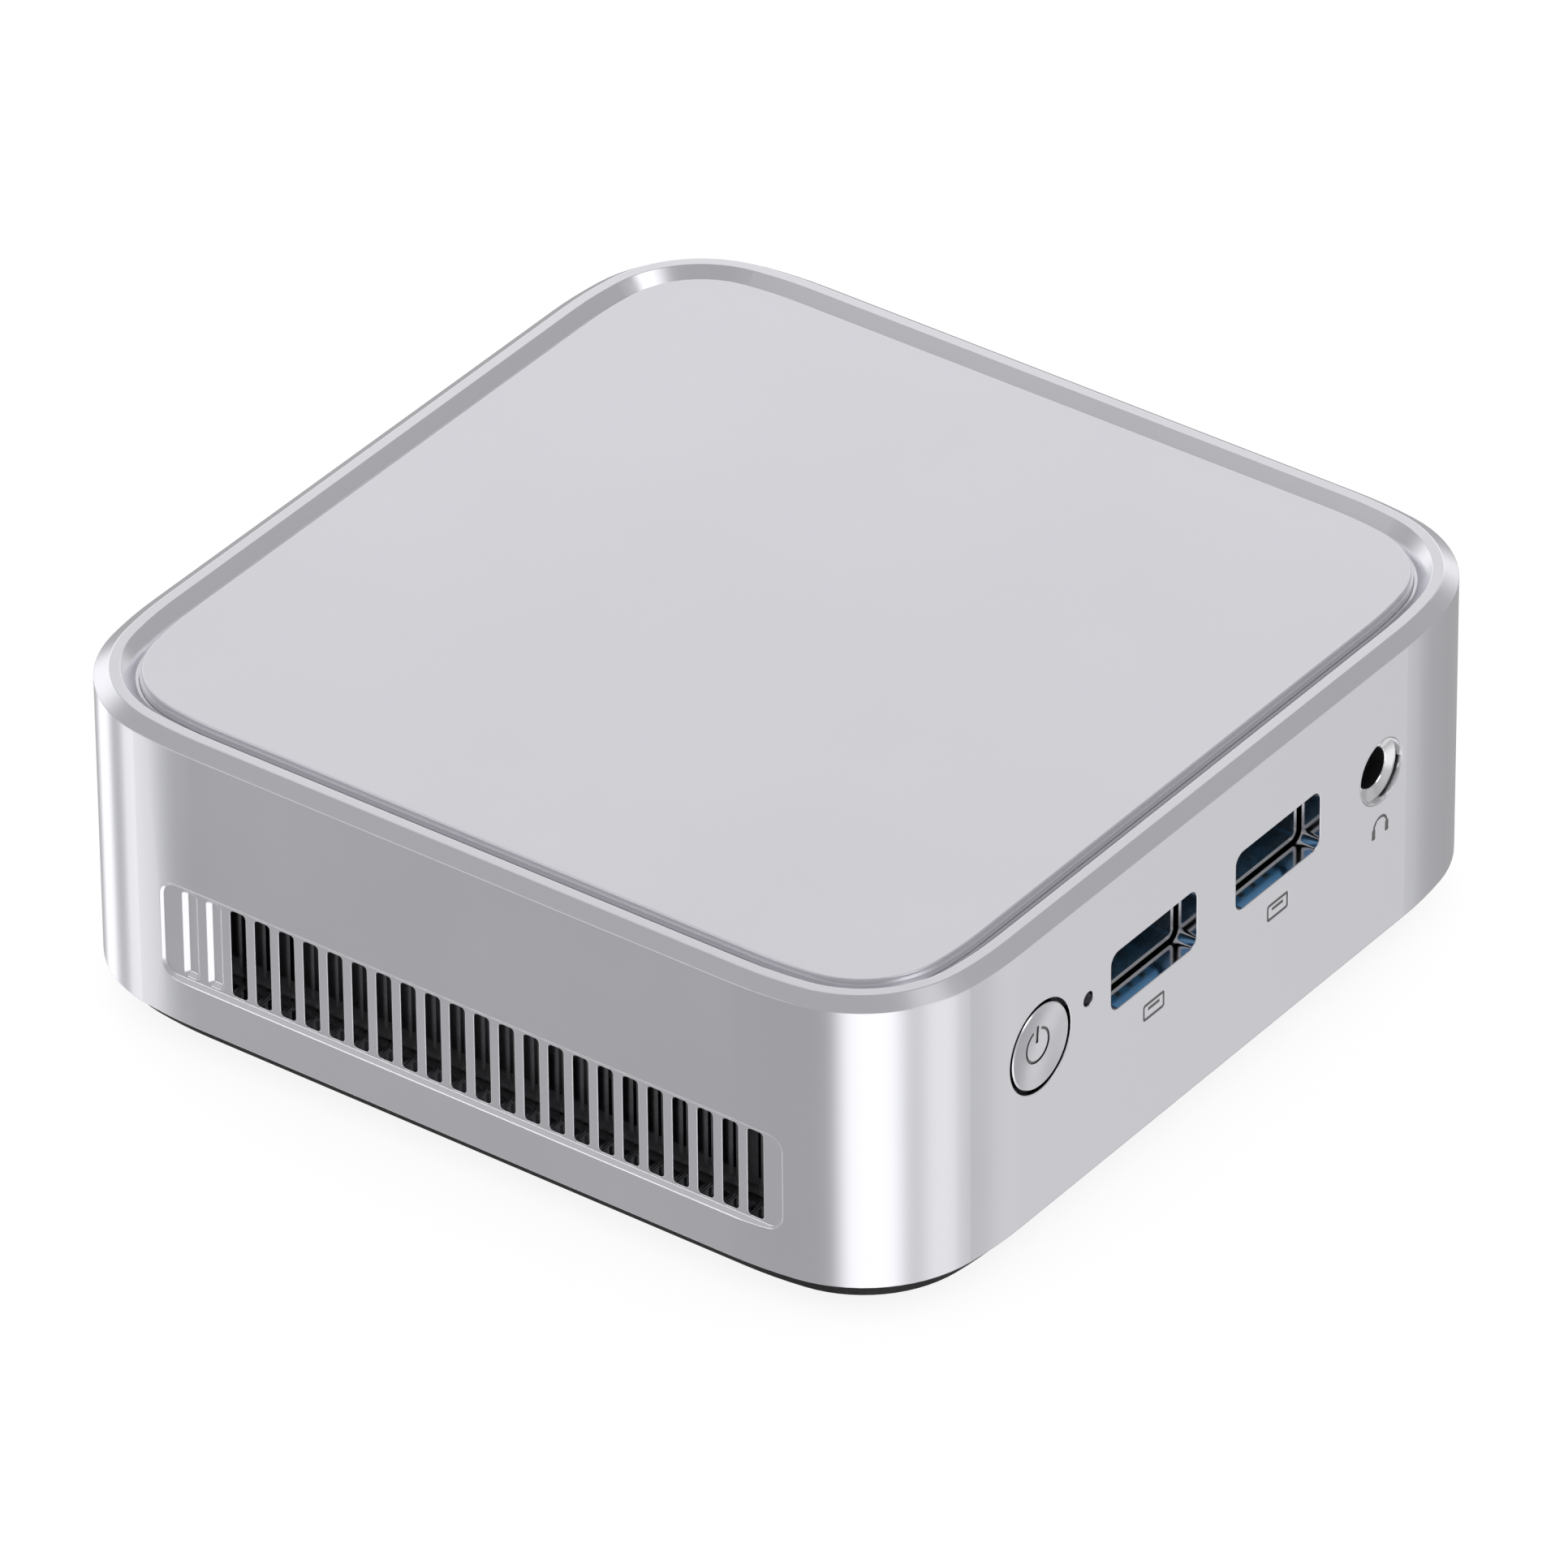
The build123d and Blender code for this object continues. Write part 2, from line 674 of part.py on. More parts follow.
def chip(x, y, long, deep, tall):
    sides = ((x - long / 2, x + long / 2), (y - deep / 2, y + deep / 2))
    return block(*sides, (board_top, board_top + tall))


def board_components():
    """Chips, coils, capacitors and the status light on top, and the fan's header below."""
    chips = [(1.0, 24.2, 6.0, 6.0, 1.0), (20.0, 25.5, 7.0, 7.0, 1.1), (-30.0, 9.0, 9.0, 9.0, 1.2)]
    chips += [(-4.0, -22.0, 8.0, 8.0, 1.2), (light_x, -45.5, 1.6, 1.2, 0.9)]
    solids = [chip(*sizes) for sizes in chips]
    for index in range(4):
        coil = chip(-25.5 + 6.4 * index, 24.2, 5.2, 5.2, 3.0)
        solids.append(fillet(coil.edges().filter_by(Axis.Z), 0.8))
    for index in range(4):
        solids.append(upright(-27.5 + 5.0 * index, 31.2, board_top, board_top + 5.0, 1.9))
    header_z = (fan_lead_end[2], board_bottom)
    solids.append(block((fan_lead_end[0] - 1.8, fan_lead_end[0] + 1.8), (9.0, 15.0), header_z))
    return group(solids)


def processor():
    """The processor package under the board, with its bare die."""
    x, y = fan_centre
    package = block((x - 17.5, x + 17.5), (y - 12, y + 12), (board_bottom - 1.0, board_bottom))
    die = block((x - 5.5, x + 5.5), (y - 4.5, y + 4.5), (base_top, board_bottom - 1.0))
    return package + die


# ---------- cooling ----------
def cooler_screw_places():
    x, y = fan_centre
    return [(x + dx, y + dy) for dx, dy in corners(33.0, 15.0)]


def heatsink():
    x, y = fan_centre
    sink = block((x - 36, x + 36), (y - 30, y + 30), (base_bottom, base_top))
    fins = []
    for index in range(-10, 11):
        middle = y + index * 2.8
        fins.append(block((x - 30, x + 30), (middle - 0.4, middle + 0.4), (fan_top + 0.2, base_bottom)))
    sink += fins
    for dx, dy in corners(fan_hole_offset, fan_hole_offset):
        sink += upright(x + dx, y + dy, fan_top, base_bottom, 2.8)
        sink -= upright(x + dx, y + dy, fan_top - 1, base_top - 0.6, 0.95)
    for place in cooler_screw_places():
        sink -= upright(*place, base_bottom - 1, base_top + 1, 1.5)
    return sink


def cooler_fixings():
    """Spring screws through the heatsink base, each with its spring and the nut on the board."""
    solids = []
    for x, y in cooler_screw_places():
        screw = upright(x, y, 11.6, 12.6, 2.2) + upright(x, y, 12.6, board_top + 2.0, 1.2)
        solids.append(screw)
        nut = hex_post(x, y, board_top, board_top + 1.6, 4.0)
        solids.append(nut - upright(x, y, board_top - 1, board_top + 3, 1.22))
        for level in range(3):
            ring = upright(x, y, 12.7 + 0.75 * level, 13.15 + 0.75 * level, 2.0)
            solids.append(ring - upright(x, y, 12, base_bottom, 1.5))
    return group(solids)


def fan_frame():
    x, y = fan_centre
    frame = Pos(x, y, fan_bottom) * RectangleRounded(fan_size, fan_size, 3.0)
    frame = extrude(frame, amount=fan_height)
    frame -= upright(x, y, fan_bottom - 1, fan_top + 1, fan_bore_radius)
    seat_bottom = fan_top - 1.2
    frame += upright(x, y, seat_bottom, fan_top, 13.0)
    for turn in (30, 150, 270):
        arm = Pos(x, y, (seat_bottom + fan_top) / 2) * Rot(0, 0, turn)
        frame += arm * Pos(20.5, 0, 0) * Box(17, 3.0, 1.2)
    frame += upright(x, y, 6.9, seat_bottom, 2.4)
    frame -= upright(x, y, 6.0, fan_top - 0.4, 1.06)
    for dx, dy in corners(fan_hole_offset, fan_hole_offset):
        frame -= upright(x + dx, y + dy, fan_bottom - 1, fan_top + 1, 1.3)
    return frame


def fan_coil():
    """The motor winding round the bearing tube: a core with nine poles."""
    x, y = fan_centre
    ring = upright(x, y, 7.6, 10.5, 5.5) - upright(x, y, 7, 11, 2.5)
    for index in range(9):
        pole = Pos(x, y, 9.05) * Rot(0, 0, index * 40) * Pos(7.2, 0, 0)
        ring += pole * Box(4.4, 2.2, 2.5)
    return ring


def fan_rotor():
    x, y = fan_centre
    hub = upright(x, y, 5.3, 6.5, 12.6)
    hub = fillet(hub.faces().sort_by(Axis.Z)[0].edges(), 0.5)
    hub += upright(x, y, 6.5, 10.4, 12.6) - upright(x, y, 6.5, 11, 11.4)
    hub += upright(x, y, 6.5, 10.6, 1.0)
    ring = upright(x, y, 5.4, 10.3, 26.8) - upright(x, y, 5, 11, 12.5)
    for index in range(9):
        blade = Pos(x, y, 7.85) * Rot(0, 0, index * 40) * Pos(19.5, 0, 0) * Rot(48, 0, 0)
        hub += (blade * Box(15, 0.9, 9)) & ring
    return hub


def fan_screws():
    x, y = fan_centre
    screws = []
    for dx, dy in corners(fan_hole_offset, fan_hole_offset):
        screw = upright(x + dx, y + dy, fan_bottom - 0.9, fan_bottom, 2.1)
        screw += upright(x + dx, y + dy, fan_bottom, base_top - 0.9, 0.9)
        screws.append(screw)
    return group(screws)


# ---------- memory, drive, radio ----------
def memory_module():
    """A slim memory stick lying under the board, chips on both faces."""
    stick = block((-33.8, 33.8), (-45.0, memory_rear_y), (memory_z, memory_z + 1.2))
    for side in (-1, 1):
        stick -= upright(side * 33.8, -36.0, memory_z - 1, memory_z + 2, 0.9)
    for index in range(4):
        x = -25.5 + 17 * index
        stick += block((x - 5, x + 5), (-41, -28), (memory_z - 0.9, memory_z))
        stick += block((x - 5, x + 5), (-41, -28), (memory_z + 1.2, memory_z + 2.1))
    return stick


def memory_socket():
    """The slotted body, with an ear at each end that a latch's pin turns in."""
    front = memory_rear_y - 2.5
    socket = block((-35.6, 35.6), (front, -15.3), (memory_z - 1.2, board_bottom))
    socket -= block((-34, 34), (-25, memory_rear_y + 0.1), (memory_z - 0.05, memory_z + 1.25))
    for side in (-1, 1):
        x = side * latch_x
        ear_z = (latch_top + 0.1, board_bottom)
        socket += block((x - 1.4, x + 1.4), (latch_pivot_y - 1.4, front), ear_z)
        socket -= upright(x, latch_pivot_y, latch_top, board_bottom + 1, latch_pin_radius + 0.05)
    return socket


def memory_latch(side):
    """One sprung arm that hooks the stick's edge; it swings outwards on the pin at its rear end."""
    x = side * latch_x
    latch_bottom = memory_z - 0.9
    arm = block((x - 0.5, x + 0.5), (-38.5, latch_pivot_y), (latch_bottom, latch_top))
    arm += upright(x, latch_pivot_y, latch_bottom, latch_top, 0.9)
    arm += upright(x, latch_pivot_y, latch_top, board_bottom - 0.3, latch_pin_radius)
    low, high = sorted((side * 33.2, side * 34.6))
    hook = block((low, high), (-36.6, -35.4), (latch_bottom, memory_z - 0.15))
    return arm + hook


def ssd():
    body = block((-40.0, 39.0), (ssd_y - 11, ssd_y + 11), (card_z, card_z + 0.8))
    body -= upright(-40.0, ssd_y, card_z - 1, card_z + 2, 1.8)
    for x in (-22.0, -4.0, 18.0):
        body += block((x - 6.5, x + 6.5), (ssd_y - 9, ssd_y + 9), (card_z + 0.8, card_z + 1.9))
    return body


def ssd_socket():
    socket = block((36.5, 43.0), (ssd_y - 11.5, ssd_y + 11.5), (board_top, board_top + 4.4))
    return socket - block((35, 39.1), (ssd_y - 11.05, ssd_y + 11.05), (card_z - 0.05, card_z + 0.85))


def wifi_card():
    card = block((9.5, 39.0), (wifi_y - 11, wifi_y + 11), (card_z, card_z + 0.8))
    card -= upright(9.5, wifi_y, card_z - 1, card_z + 2, 1.8)
    card += block((16, 33), (wifi_y - 9, wifi_y + 9), (card_z + 0.8, card_z + 2.2))
    for side in (-1, 1):
        card += upright(wifi_plug_x, wifi_y + side * wifi_plug_offset, card_z + 0.8, wifi_plug_z, 1.0)
    return card


def wifi_socket():
    socket = block((36.5, 43.0), (wifi_y - 11.5, wifi_y + 11.5), (board_top, board_top + 4.4))
    return socket - block((35, 39.1), (wifi_y - 11.05, wifi_y + 11.05), (card_z - 0.05, card_z + 0.85))


def card_fixings():
    """The post and screw that hold each card's free end."""
    solids = []
    for x, y in ((-40.0, ssd_y), (9.5, wifi_y)):
        solids.append(hex_post(x, y, board_top, card_z - 0.02, 4.2))
        shank = upright(x, y, card_z, card_z + 1.6, 1.7)
        solids.append(shank + upright(x, y, card_z + 0.8, card_z + 1.9, 2.6))
    return group(solids)


def coin_cell():
    x, y = cell_place
    cell = upright(x, y, board_top + 1.0, board_top + 4.2, 10.0)
    return fillet(cell.faces().sort_by(Axis.Z)[-1].edges(), 0.5)


def coin_cell_holder():
    x, y = cell_place
    holder = upright(x, y, board_top, board_top + 3.4, 11.4)
    holder -= upright(x, y, board_top + 0.95, board_top + 5, 10.1)
    return holder - block((x - 12, x - 5), (y - 3.5, y + 3.5), (board_top + 0.95, board_top + 5))


# ---------- leads and antennas ----------
def lead(points):
    """A thin lead along straight runs joined by tangent arcs."""
    vectors = [Vector(*point) for point in points]
    radii = []
    for before, at, after in zip(vectors, vectors[1:], vectors[2:]):
        turn = math.radians((at - before).get_angle(after - at))
        shorter = min((at - before).length, (after - at).length)
        radii.append(0.45 * shorter / math.tan(turn / 2))
    print("lead radii", [round(radius, 2) for radius in radii])
    path = FilletPolyline(*points, radius=radii)
    section = Plane(origin=path @ 0, z_dir=path % 0) * Circle(lead_diameter / 2)
    return sweep(section, path=path)


def antenna_leads():
    """From the radio card over the board's edge to each antenna's solder pad."""
    over, edge_x = 30.2, 43.65
    left_y, right_y = antenna_lead_y["left"], antenna_lead_y["right"]
    pad_face = antenna_pad_y - 0.12
    plug_left, plug_right = wifi_y + wifi_plug_offset, wifi_y - wifi_plug_offset
    to_left = [(wifi_plug_x, plug_left, wifi_plug_z), (wifi_plug_x, plug_left, over)]
    to_left += [(2.0, -4.8, over), (-35.0, -5.4, 28.0), (-edge_x, left_y, 27.0)]
    to_left += [(-edge_x, left_y, antenna_z), (-antenna_x + 0.65, pad_face, antenna_z)]
    to_right = [(wifi_plug_x, plug_right, wifi_plug_z), (wifi_plug_x, plug_right, over)]
    to_right += [(22.0, right_y + 0.6, over), (edge_x, right_y, 28.0)]
    to_right += [(edge_x, right_y, antenna_z), (antenna_x - 0.65, pad_face, antenna_z)]
    return group([lead(to_left), lead(to_right)])


def fan_lead():
    """From the fan's side to its header under the board."""
    exit_x = fan_centre[0] - fan_size / 2
    end_x, end_y, end_z = fan_lead_end
    return lead([(exit_x, end_y, 9.0), (end_x, end_y + 0.6, 9.0), (end_x, end_y, end_z)])


def antennas():
    """Flat antennas on the inner faces of the two vent liners, each with a solder pad."""
    solids = []
    for side in (-1, 1):
        low, high = sorted((side * antenna_x, side * (antenna_x + 0.25)))
        flat = block((low, high), (antenna_pad_y, 22), (9.0, 17.0))
        low, high = sorted((side * (antenna_x - 1.3), side * antenna_x))
        pad = block((low, high), (antenna_pad_y, antenna_pad_y + 1.2), (antenna_z - 0.7, antenna_z + 0.7))
        solids.append(flat + pad)
    return group(solids)


nodes = {
    "housing": housing,
    "top_plate": top_plate,
    "bottom_cover": bottom_cover,
    "cover_screws": cover_screws,
    "bracket_inserts": bracket_inserts,
    "vent_liner_left": left_vent_liner,
    "vent_liner_right": lambda: mirror(left_vent_liner(), about=Plane.YZ),
    "power_button_cap": power_button_cap,
    "power_button_carrier": power_button_carrier,
    "power_switch": power_switch,
    "switch_plunger": switch_plunger,
    "status_light_pipe": status_light_pipe,
    "usb_contacts": usb_contacts,
    "audio_collar": audio_collar,
    "audio_jack": audio_jack,
    "audio_contacts": audio_contacts,
    "video_shell": video_shell,
    "video_tongue": video_tongue,
    "lan_shell": lan_shell,
    "lan_insert": lan_insert,
    "lan_contacts": lan_contacts,
    "dc_jack": dc_jack,
    "dc_pin": dc_pin,
    "mainboard": mainboard,
    "board_standoffs": board_standoffs,
    "board_screws": board_screws,
    "board_components": board_components,
    "processor": processor,
    "heatsink": heatsink,
    "cooler_fixings": cooler_fixings,
    "fan_frame": fan_frame,
    "fan_coil": fan_coil,
    "fan_rotor": fan_rotor,
    "fan_screws": fan_screws,
    "memory_module": memory_module,
    "memory_socket": memory_socket,
    "memory_latch_left": lambda: memory_latch(-1),
    "memory_latch_right": lambda: memory_latch(1),
    "ssd": ssd,
    "ssd_socket": ssd_socket,
    "wifi_card": wifi_card,
    "wifi_socket": wifi_socket,
    "card_fixings": card_fixings,
    "coin_cell": coin_cell,
    "coin_cell_holder": coin_cell_holder,
    "antennas": antennas,
    "antenna_leads": antenna_leads,
    "fan_lead": fan_lead,
}
for name, x in front_usb_x.items():
    nodes[f"front_usb_{name}_shell"] = lambda x=x: usb_shell(x, front_port_z)
    nodes[f"front_usb_{name}_tongue"] = lambda x=x: usb_tongue(x, front_port_z)
for name, x in rear_usb_x.items():
    nodes[f"rear_usb_{name}_shell"] = lambda x=x: usb_shell(x, board_top + 3.0, True)
    nodes[f"rear_usb_{name}_tongue"] = lambda x=x: usb_tongue(x, board_top + 3.0, True)
for x, y in corners(foot_offset, foot_offset):
    name = f"foot_{'front' if y < 0 else 'rear'}_{'left' if x < 0 else 'right'}"
    nodes[name] = lambda x=x, y=y: foot(x, y)

os.makedirs("parts", exist_ok=True)
for name, make in nodes.items():
    export_step(make(), f"parts/{name}.step")
print(len(nodes), "nodes")
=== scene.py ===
import json
import math

import bpy
from mathutils import Matrix, Vector


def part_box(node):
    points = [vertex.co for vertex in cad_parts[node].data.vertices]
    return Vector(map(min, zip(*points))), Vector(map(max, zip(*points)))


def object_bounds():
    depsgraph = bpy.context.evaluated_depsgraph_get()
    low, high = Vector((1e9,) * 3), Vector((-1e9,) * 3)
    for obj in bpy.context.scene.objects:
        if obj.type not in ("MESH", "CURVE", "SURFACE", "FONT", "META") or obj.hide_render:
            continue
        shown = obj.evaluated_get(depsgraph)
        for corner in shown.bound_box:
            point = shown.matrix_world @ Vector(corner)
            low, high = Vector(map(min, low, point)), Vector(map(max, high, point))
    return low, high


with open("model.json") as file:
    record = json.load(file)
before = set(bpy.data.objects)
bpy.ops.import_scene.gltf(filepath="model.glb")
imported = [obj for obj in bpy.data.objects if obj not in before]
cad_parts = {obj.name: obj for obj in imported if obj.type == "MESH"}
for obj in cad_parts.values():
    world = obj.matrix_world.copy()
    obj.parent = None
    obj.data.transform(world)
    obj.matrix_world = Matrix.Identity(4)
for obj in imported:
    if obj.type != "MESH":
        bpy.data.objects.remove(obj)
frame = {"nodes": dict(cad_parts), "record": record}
cad_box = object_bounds()

MM = 0.001
scene = bpy.context.scene
scene.view_settings.view_transform = "Standard"

# ---- camera ----
CAMERA_PLACE = Vector((-1.02403, -0.76154, 0.88101))
CAMERA_AZIMUTH = math.radians(-53.378)
CAMERA_ELEVATION = math.radians(34.117)
CAMERA_ROLL = math.radians(-0.514)
CAMERA_LENS = 368.47
CAMERA_SENSOR = 36.0
CAMERA_REACH = (0.1, 60.0)

# ---- studio: heights are the sine of the elevation, and angles are in degrees ----
STUDIO_TINT = (0.985, 0.985, 1.0, 1.0)
WHITE = (1.0, 1.0, 1.0, 1.0)
SOFT_EDGE = (0.6, 1.4)  # a light's edge runs between these shares of its half size
HORIZON = (0.15, -0.1)  # heights between which the sky gives way to the ring
RING_BASE = 0.435
RING_STRIPS = [  # (azimuth, half width, added brightness) low round the object
    (78, 12.5, 0.91), (100, 20, 0.06), (119, 10.5, 0.69), (222, 24, 0.89),
    (277, 28, 0.31), (279, 14, 0.25), (321, 9, 0.37),
]
STRIP_FADE = (-0.44, -0.26)  # heights between which the strips fade
STRIP_SHARE = 0.3  # what is left of them near the horizon
SKY_BASE = 0.48
SKY_LIGHT_AZIMUTH = 45.0
SKY_LIGHT_WIDTH = (35.0, 60.0)
SKY_LIGHT_HEIGHT = (0.47, 0.63)
SKY_LIGHT_BRIGHTNESS = 0.75
PANELS = [  # (azimuth, half width, height, half height, added brightness) up in the sky
    (145, 25, 0.60, 0.14, 0.11), (148, 14, 0.25, 0.14, 1.8), (65, 22, 0.86, 0.06, 0.6),
    (272, 16, 0.60, 0.16, 1.6), (298, 18, 0.88, 0.06, 0.36),
]
OVERHEAD_SIZE = 3.0
OVERHEAD_HEIGHT = 2.2
OVERHEAD_POWER = 18.0
FLOOR_SIZE = 12.0
FLOOR_DROP = 0.02 * MM
FLOOR_COLOUR = (0.16, 0.16, 0.16, 1.0)
FLOOR_ROUGHNESS = 0.8
FLOOR_GLOW = 0.88

# ---- printed and engraved marks, and the painted shade on the button cap's side ----
PRINT_AND_SHADE_PAINT = (0.16, 0.163, 0.157)
SIGN_FLOOR_Y = -50.94 * MM
SIGN_FLOOR_HALF = 0.03 * MM
SIGN_DROP = 6.3 * MM  # from the sockets' centre line down to the signs'
SIGN_HALF_WIDTH = 2.4 * MM
SIGN_HALF_HEIGHT = 1.6 * MM
SYMBOL_HALF = 2.4 * MM
SYMBOL_DEPTH = 0.04 * MM
DISH_RIM = 4.3 * MM
DISH_DEPTH = 0.42 * MM
DISH_RADIUS = (DISH_RIM**2 + DISH_DEPTH**2) / (2 * DISH_DEPTH)
# the cap's side, beyond this rim and behind this depth, is painted dark: painted shade in the gap
# round the cap
CAP_EDGE_WIDTH = 0.13 * MM
CAP_EDGE_DEPTH = 0.12 * MM

# ---- milled openings: (middle, half) of the walls that they pass through, and their reach ----
SIDE_WALL_X = (49.65 * MM, 0.84 * MM)
SIDE_OPENINGS_Y = (-4.65 * MM, 33.05 * MM)
END_WALL_Y = (49.86 * MM, 1.04 * MM)
END_OPENINGS_X = (0.0, 33.0 * MM)
OPENINGS_Z = (18.0 * MM, 13.5 * MM)
CUT_SMOOTHNESS = 0.5  # a cut wall's roughness beside the blasted face's

# ---- finishes ----
CLOUD_SCALE = 38.0
BLASTED_SCALE = 5200.0
BLASTED_DEPTH = 0.01 * MM
LINE_SCALE = 1800.0
LINE_STRETCH = (1.0, 9.0, 1.0)
LINE_DEPTH = 0.01 * MM
SMEAR_SCALE = 420.0
BEVEL_SAMPLES = 6


# ---------- camera ----------
def make_camera():
    cos_elevation = math.cos(CAMERA_ELEVATION)
    back = Vector((
        math.sin(CAMERA_AZIMUTH) * cos_elevation,
        -math.cos(CAMERA_AZIMUTH) * cos_elevation,
        math.sin(CAMERA_ELEVATION),
    ))
    level_right = Vector((0, 0, 1)).cross(back).normalized()
    level_up = back.cross(level_right)
    right = math.cos(CAMERA_ROLL) * level_right + math.sin(CAMERA_ROLL) * level_up
    up = back.cross(right)
    data = bpy.data.cameras.new("camera")
    data.lens = CAMERA_LENS
    data.sensor_width = CAMERA_SENSOR
    data.clip_start, data.clip_end = CAMERA_REACH
    camera = bpy.data.objects.new("camera", data)
    rotation = Matrix((right, up, back)).transposed().to_4x4()
    camera.matrix_world = Matrix.Translation(CAMERA_PLACE) @ rotation
    scene.collection.objects.link(camera)
    scene.camera = camera


# ---------- node helpers ----------
class Nodes:
    """A node tree, with short ways to add nodes to it."""

    def __init__(self, tree):
        self.tree = tree

    def node(self, kind, **settings):
        made = self.tree.nodes.new(kind)
        for key, value in settings.items():
            setattr(made, key, value)
        return made

    def link(self, output, target):
        self.tree.links.new(output, target)

    def split(self, vector):
        made = self.node("ShaderNodeSeparateXYZ")
        self.link(vector, made.inputs["Vector"])
        return [made.outputs[axis] for axis in "XYZ"]

    def math(self, operation, *values):
        made = self.node("ShaderNodeMath", operation=operation)
        for target, value in zip(made.inputs, values):
            if isinstance(value, (int, float)):
                target.default_value = value
            else:
                self.link(value, target)
        return made.outputs["Value"]

    def remap(self, value, low, high, start=0.0, end=1.0, curve="LINEAR"):
        made = self.node("ShaderNodeMapRange", interpolation_type=curve)
        made.inputs["From Min"].default_value = start
        made.inputs["From Max"].default_value = end
        made.inputs["To Min"].default_value = low
        made.inputs["To Max"].default_value = high
        self.link(value, made.inputs["Value"])
        return made.outputs["Result"]

    def soften(self, value, full, gone):
        """1 on full's side of the range, falling smoothly to 0 on gone's."""
        return self.remap(value, 1.0, 0.0, full, gone, "SMOOTHSTEP")


class Shader(Nodes):
    """A material's node tree, with a Principled shader."""

    def __init__(self, name, **sockets):
        self.material = bpy.data.materials.new(name)
        self.material.use_nodes = True
        super().__init__(self.material.node_tree)
        self.principled = self.tree.nodes["Principled BSDF"]
        for socket, value in sockets.items():
            self.principled.inputs[socket.replace("_", " ")].default_value = value

    def place(self):
        """The point in the frame, in metres."""
        return self.node("ShaderNodeTexCoord").outputs["Object"]

    def noise(self, scale, detail=2.0, roughness=0.5, vector=None):
        made = self.node("ShaderNodeTexNoise")
        made.inputs["Scale"].default_value = scale
        made.inputs["Detail"].default_value = detail
        made.inputs["Roughness"].default_value = roughness
        self.link(vector or self.place(), made.inputs["Vector"])
        return made.outputs["Fac"]

    def mix_colour(self, factor, first, second):
        made = self.node("ShaderNodeMix", data_type="RGBA")
        for socket, value in (("A", first), ("B", second)):
            target = [s for s in made.inputs if s.name == socket and s.type == "RGBA"][0]
            if isinstance(value, tuple):
                target.default_value = (*value, 1.0)
            else:
                self.link(value, target)
        self.link(factor, made.inputs["Factor"])
        return [s for s in made.outputs if s.type == "RGBA"][0]

    def bump(self, height, strength, distance, worn_edge=0.0):
        """Bump on the surface, whose sharp edges look worn round to the given radius."""
        made = self.node("ShaderNodeBump")
        made.inputs["Strength"].default_value = strength
        made.inputs["Distance"].default_value = distance
        self.link(height, made.inputs["Height"])
        if worn_edge:
            bevel = self.node("ShaderNodeBevel", samples=BEVEL_SAMPLES)
            bevel.inputs["Radius"].default_value = worn_edge
            self.link(bevel.outputs["Normal"], made.inputs["Normal"])
        self.link(made.outputs["Normal"], self.principled.inputs["Normal"])

    def inside(self, value, centre, half):
        """1 where value is within half of centre, and 0 elsewhere."""
        return self.math("COMPARE", value, centre, half)

    def beyond(self, centre, radius):
        """1 where the surface is further than radius from centre, and 0 elsewhere."""
        reach = self.node("ShaderNodeVectorMath", operation="DISTANCE")
        self.link(self.place(), reach.inputs[0])
        reach.inputs[1].default_value = centre
        return self.math("GREATER_THAN", reach.outputs["Value"], radius)

    def colour(self, output):
        self.link(output, self.principled.inputs["Base Color"])

    def roughness(self, output):
        self.link(output, self.principled.inputs["Roughness"])


# ---------- marks, painted shade and cuts ---
def middle(node):
    low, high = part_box(node)
    return (Vector(low) + Vector(high)) / 2


def face_marks(shader):
    """Where the small signs under the front sockets are sunk into the face."""
    x, y, z = shader.split(shader.place())
    under_socket = 0.0
    for socket in ("front_usb_left_shell", "front_usb_right_shell", "audio_collar"):
        across = shader.inside(x, middle(socket).x, SIGN_HALF_WIDTH)
        under_socket = shader.math("ADD", across, under_socket)
    level = shader.inside(z, middle("audio_collar").z - SIGN_DROP, SIGN_HALF_HEIGHT)
    sunk = shader.inside(y, SIGN_FLOOR_Y, SIGN_FLOOR_HALF)
    return shader.math("MULTIPLY", under_socket, shader.math("MULTIPLY", level, sunk))


def cut_walls(shader):
    """The walls of the slots and port openings, within the thickness of the case's four sides."""
    x, y, z = shader.split(shader.place())
    beside = shader.inside(shader.math("ABSOLUTE", x), *SIDE_WALL_X)
    beside = shader.math("MULTIPLY", beside, shader.inside(y, *SIDE_OPENINGS_Y))
    ahead = shader.inside(shader.math("ABSOLUTE", y), *END_WALL_Y)
    ahead = shader.math("MULTIPLY", ahead, shader.inside(x, *END_OPENINGS_X))
    level = shader.inside(z, *OPENINGS_Z)
    return shader.math("MULTIPLY", shader.math("MAXIMUM", beside, ahead), level)


def button_symbol_and_painted_shade(shader):
    """Where the symbol is sunk below the cap's dished face, and the cap's side, painted dark as
    painted shade in the gap round it.
    """
    centre = middle("power_button_cap")
    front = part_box("power_button_cap")[0][1]
    x, y, z = shader.split(shader.place())
    dish_centre = (centre.x, front - DISH_RADIUS + DISH_DEPTH, centre.z)
    sunk = shader.beyond(dish_centre, DISH_RADIUS + SYMBOL_DEPTH)
    across = shader.inside(x, centre.x, SYMBOL_HALF)
    up = shader.inside(z, centre.z, SYMBOL_HALF)
    symbol = shader.math("MULTIPLY", sunk, shader.math("MULTIPLY", across, up))
    # The cap's side, beyond its rim edge and behind its face, gets the dark paint: painted shade
    # in the gap round the cap.
    outside = shader.beyond((centre.x, front, centre.z), DISH_RIM + CAP_EDGE_WIDTH)
    behind = shader.math("GREATER_THAN", y, front + CAP_EDGE_DEPTH)
    return shader.math("MAXIMUM", symbol, shader.math("MULTIPLY", outside, behind))


# ---------- materials ----------
def shade(tint, share, lift=0.0):
    """The tint made darker or lighter by share, and lifted a little towards grey."""
    return tuple(share * channel + lift for channel in tint)


